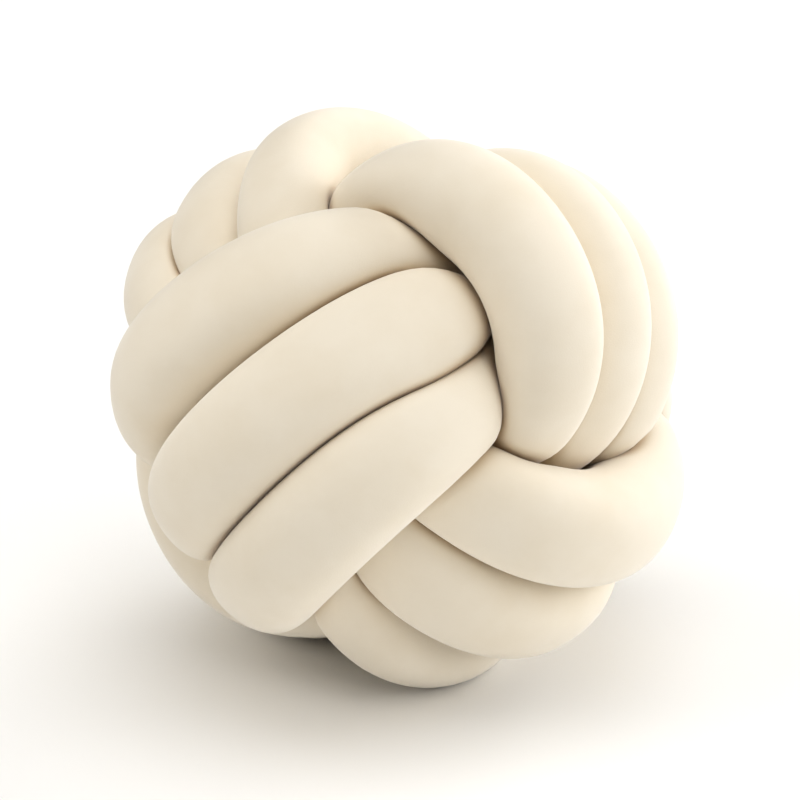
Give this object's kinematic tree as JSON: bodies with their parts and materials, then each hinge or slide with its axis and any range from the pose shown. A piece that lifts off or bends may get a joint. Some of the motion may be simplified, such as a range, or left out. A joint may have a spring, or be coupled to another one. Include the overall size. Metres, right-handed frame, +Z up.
{
  "type": "knot cushion",
  "caption": "Round knot cushion: one plump stuffed cloth tube wound and tucked into a ball, three strands side by side on each face.",
  "frame": {"origin": "middle of the cushion's extent in X and Y, on the flat spot it rests on", "axes": "+Z up; -Y is the side seen first, with one bundle of strands slanting up to the right across it"},
  "size_m": [0.2908, 0.325, 0.2858],
  "materials": {
    "cream_cloth": "matte stretch velvet with a very short nap"
  },
  "bodies": {
    "root": {"stuffed_tube": "cream_cloth"}
  },
  "joints": []
}
